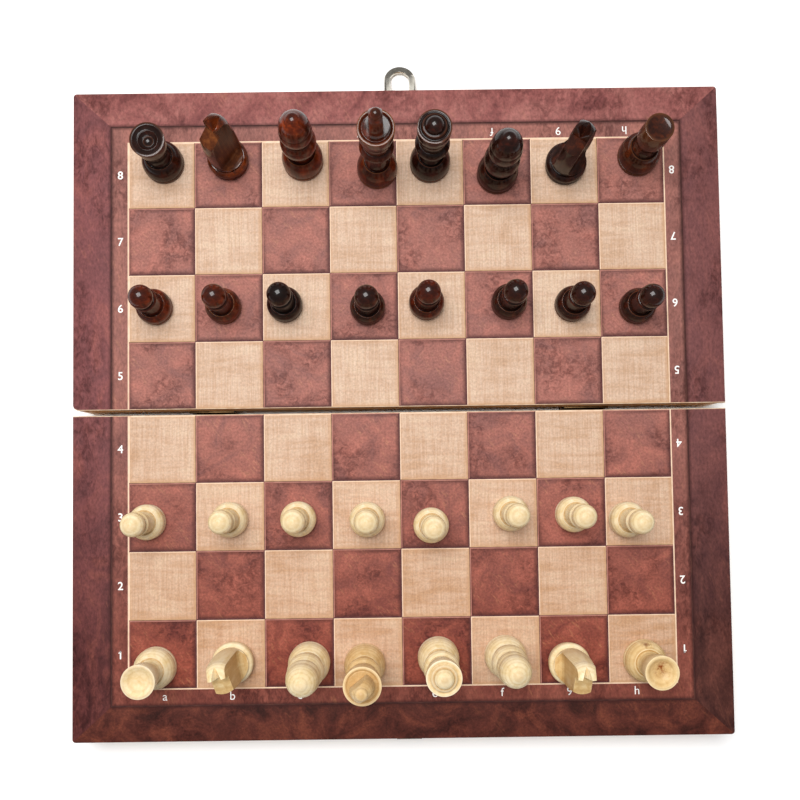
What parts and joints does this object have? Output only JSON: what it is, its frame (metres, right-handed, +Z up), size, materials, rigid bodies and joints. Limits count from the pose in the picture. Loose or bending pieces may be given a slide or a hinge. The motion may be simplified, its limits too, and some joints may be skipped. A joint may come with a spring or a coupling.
{
  "type": "chess set with board",
  "caption": "Folding wooden chess board on a hinged two-tray box with a bail clasp, with dark and pale turned wooden chessmen standing on its printed squares.",
  "frame": {"origin": "under the middle of the open board with its clasp, on the plane that the rims rest on", "axes": "+Z up, +X to the right along the ranks, +Y along the files to the dark side and the clasp"},
  "size_m": [0.2886, 0.312, 0.0812],
  "materials": {
    "printed_board": "printed, satin lacquer",
    "rail_wood": "sanded, satin lacquer",
    "dark_stained_wood": "stained, gloss lacquer",
    "pale_wood": "satin lacquer",
    "screw_steel": "bright zinc",
    "hinge_brass": "brass plated",
    "clasp_metal": "brass plated, polished"
  },
  "bodies": {
    "near_half": {"near_panel": "printed_board", "near_end_rail": "rail_wood", "near_hinge_rail": "rail_wood", "near_left_rail": "rail_wood", "near_right_rail": "rail_wood", "near_hinge_screws": "screw_steel", "catch_plate": "clasp_metal", "catch_plate_screws": "screw_steel", "left_hinge_near_leaf": "hinge_brass", "left_hinge_pin": "screw_steel", "right_hinge_near_leaf": "hinge_brass", "right_hinge_pin": "screw_steel"},
    "far_half": {"far_panel": "printed_board", "far_end_rail": "rail_wood", "far_hinge_rail": "rail_wood", "far_left_rail": "rail_wood", "far_right_rail": "rail_wood", "far_hinge_screws": "screw_steel", "clasp_plate": "clasp_metal", "clasp_plate_screws": "screw_steel", "left_hinge_far_leaf": "hinge_brass", "right_hinge_far_leaf": "hinge_brass"},
    "clasp_bail": {"clasp_bail": "clasp_metal"},
    "black_rook_a": {"black_rook_a": "dark_stained_wood"},
    "black_knight_b": {"black_knight_b": "dark_stained_wood"},
    "black_bishop_c": {"black_bishop_c": "dark_stained_wood"},
    "black_king": {"black_king": "dark_stained_wood"},
    "black_queen": {"black_queen": "dark_stained_wood"},
    "black_bishop_f": {"black_bishop_f": "dark_stained_wood"},
    "black_knight_g": {"black_knight_g": "dark_stained_wood"},
    "black_rook_h": {"black_rook_h": "dark_stained_wood"},
    "black_pawn_a": {"black_pawn_a": "dark_stained_wood"},
    "black_pawn_b": {"black_pawn_b": "dark_stained_wood"},
    "black_pawn_c": {"black_pawn_c": "dark_stained_wood"},
    "black_pawn_d": {"black_pawn_d": "dark_stained_wood"},
    "black_pawn_e": {"black_pawn_e": "dark_stained_wood"},
    "black_pawn_f": {"black_pawn_f": "dark_stained_wood"},
    "black_pawn_g": {"black_pawn_g": "dark_stained_wood"},
    "black_pawn_h": {"black_pawn_h": "dark_stained_wood"},
    "white_rook_a": {"white_rook_a": "pale_wood"},
    "white_knight_b": {"white_knight_b": "pale_wood"},
    "white_bishop_c": {"white_bishop_c": "pale_wood"},
    "white_king": {"white_king": "pale_wood"},
    "white_queen": {"white_queen": "pale_wood"},
    "white_bishop_f": {"white_bishop_f": "pale_wood"},
    "white_knight_g": {"white_knight_g": "pale_wood"},
    "white_rook_h": {"white_rook_h": "pale_wood"},
    "white_pawn_a": {"white_pawn_a": "pale_wood"},
    "white_pawn_b": {"white_pawn_b": "pale_wood"},
    "white_pawn_c": {"white_pawn_c": "pale_wood"},
    "white_pawn_d": {"white_pawn_d": "pale_wood"},
    "white_pawn_e": {"white_pawn_e": "pale_wood"},
    "white_pawn_f": {"white_pawn_f": "pale_wood"},
    "white_pawn_g": {"white_pawn_g": "pale_wood"},
    "white_pawn_h": {"white_pawn_h": "pale_wood"}
  },
  "joints": [
    {"name": "board_fold", "type": "hinge", "parent": "near_half", "child": "far_half", "pos_m": [0, -0.00918, 0], "axis": [-1, 0, 0], "range_deg": [0, 180]},
    {"name": "clasp_swing", "type": "hinge", "parent": "far_half", "child": "clasp_bail", "pos_m": [0.0025, 0.13602, 0.011], "axis": [-1, 0, 0], "range_deg": [-119.85, 58.15]},
    {"name": "lift_black_rook_a", "type": "slide", "parent": "far_half", "child": "black_rook_a", "axis": [0, 0, 1], "range_m": [0, 0.065]},
    {"name": "lift_black_knight_b", "type": "slide", "parent": "far_half", "child": "black_knight_b", "axis": [0, 0, 1], "range_m": [0, 0.065]},
    {"name": "lift_black_bishop_c", "type": "slide", "parent": "far_half", "child": "black_bishop_c", "axis": [0, 0, 1], "range_m": [0, 0.065]},
    {"name": "lift_black_king", "type": "slide", "parent": "far_half", "child": "black_king", "axis": [0, 0, 1], "range_m": [0, 0.065]},
    {"name": "lift_black_queen", "type": "slide", "parent": "far_half", "child": "black_queen", "axis": [0, 0, 1], "range_m": [0, 0.065]},
    {"name": "lift_black_bishop_f", "type": "slide", "parent": "far_half", "child": "black_bishop_f", "axis": [0, 0, 1], "range_m": [0, 0.065]},
    {"name": "lift_black_knight_g", "type": "slide", "parent": "far_half", "child": "black_knight_g", "axis": [0, 0, 1], "range_m": [0, 0.065]},
    {"name": "lift_black_rook_h", "type": "slide", "parent": "far_half", "child": "black_rook_h", "axis": [0, 0, 1], "range_m": [0, 0.065]},
    {"name": "lift_black_pawn_a", "type": "slide", "parent": "far_half", "child": "black_pawn_a", "axis": [0, 0, 1], "range_m": [0, 0.065]},
    {"name": "lift_black_pawn_b", "type": "slide", "parent": "far_half", "child": "black_pawn_b", "axis": [0, 0, 1], "range_m": [0, 0.065]},
    {"name": "lift_black_pawn_c", "type": "slide", "parent": "far_half", "child": "black_pawn_c", "axis": [0, 0, 1], "range_m": [0, 0.065]},
    {"name": "lift_black_pawn_d", "type": "slide", "parent": "far_half", "child": "black_pawn_d", "axis": [0, 0, 1], "range_m": [0, 0.065]},
    {"name": "lift_black_pawn_e", "type": "slide", "parent": "far_half", "child": "black_pawn_e", "axis": [0, 0, 1], "range_m": [0, 0.065]},
    {"name": "lift_black_pawn_f", "type": "slide", "parent": "far_half", "child": "black_pawn_f", "axis": [0, 0, 1], "range_m": [0, 0.065]},
    {"name": "lift_black_pawn_g", "type": "slide", "parent": "far_half", "child": "black_pawn_g", "axis": [0, 0, 1], "range_m": [0, 0.065]},
    {"name": "lift_black_pawn_h", "type": "slide", "parent": "far_half", "child": "black_pawn_h", "axis": [0, 0, 1], "range_m": [0, 0.065]},
    {"name": "lift_white_rook_a", "type": "slide", "parent": "near_half", "child": "white_rook_a", "axis": [0, 0, 1], "range_m": [0, 0.065]},
    {"name": "lift_white_knight_b", "type": "slide", "parent": "near_half", "child": "white_knight_b", "axis": [0, 0, 1], "range_m": [0, 0.065]},
    {"name": "lift_white_bishop_c", "type": "slide", "parent": "near_half", "child": "white_bishop_c", "axis": [0, 0, 1], "range_m": [0, 0.065]},
    {"name": "lift_white_king", "type": "slide", "parent": "near_half", "child": "white_king", "axis": [0, 0, 1], "range_m": [0, 0.065]},
    {"name": "lift_white_queen", "type": "slide", "parent": "near_half", "child": "white_queen", "axis": [0, 0, 1], "range_m": [0, 0.065]},
    {"name": "lift_white_bishop_f", "type": "slide", "parent": "near_half", "child": "white_bishop_f", "axis": [0, 0, 1], "range_m": [0, 0.065]},
    {"name": "lift_white_knight_g", "type": "slide", "parent": "near_half", "child": "white_knight_g", "axis": [0, 0, 1], "range_m": [0, 0.065]},
    {"name": "lift_white_rook_h", "type": "slide", "parent": "near_half", "child": "white_rook_h", "axis": [0, 0, 1], "range_m": [0, 0.065]},
    {"name": "lift_white_pawn_a", "type": "slide", "parent": "near_half", "child": "white_pawn_a", "axis": [0, 0, 1], "range_m": [0, 0.065]},
    {"name": "lift_white_pawn_b", "type": "slide", "parent": "near_half", "child": "white_pawn_b", "axis": [0, 0, 1], "range_m": [0, 0.065]},
    {"name": "lift_white_pawn_c", "type": "slide", "parent": "near_half", "child": "white_pawn_c", "axis": [0, 0, 1], "range_m": [0, 0.065]},
    {"name": "lift_white_pawn_d", "type": "slide", "parent": "near_half", "child": "white_pawn_d", "axis": [0, 0, 1], "range_m": [0, 0.065]},
    {"name": "lift_white_pawn_e", "type": "slide", "parent": "near_half", "child": "white_pawn_e", "axis": [0, 0, 1], "range_m": [0, 0.065]},
    {"name": "lift_white_pawn_f", "type": "slide", "parent": "near_half", "child": "white_pawn_f", "axis": [0, 0, 1], "range_m": [0, 0.065]},
    {"name": "lift_white_pawn_g", "type": "slide", "parent": "near_half", "child": "white_pawn_g", "axis": [0, 0, 1], "range_m": [0, 0.065]},
    {"name": "lift_white_pawn_h", "type": "slide", "parent": "near_half", "child": "white_pawn_h", "axis": [0, 0, 1], "range_m": [0, 0.065]}
  ]
}
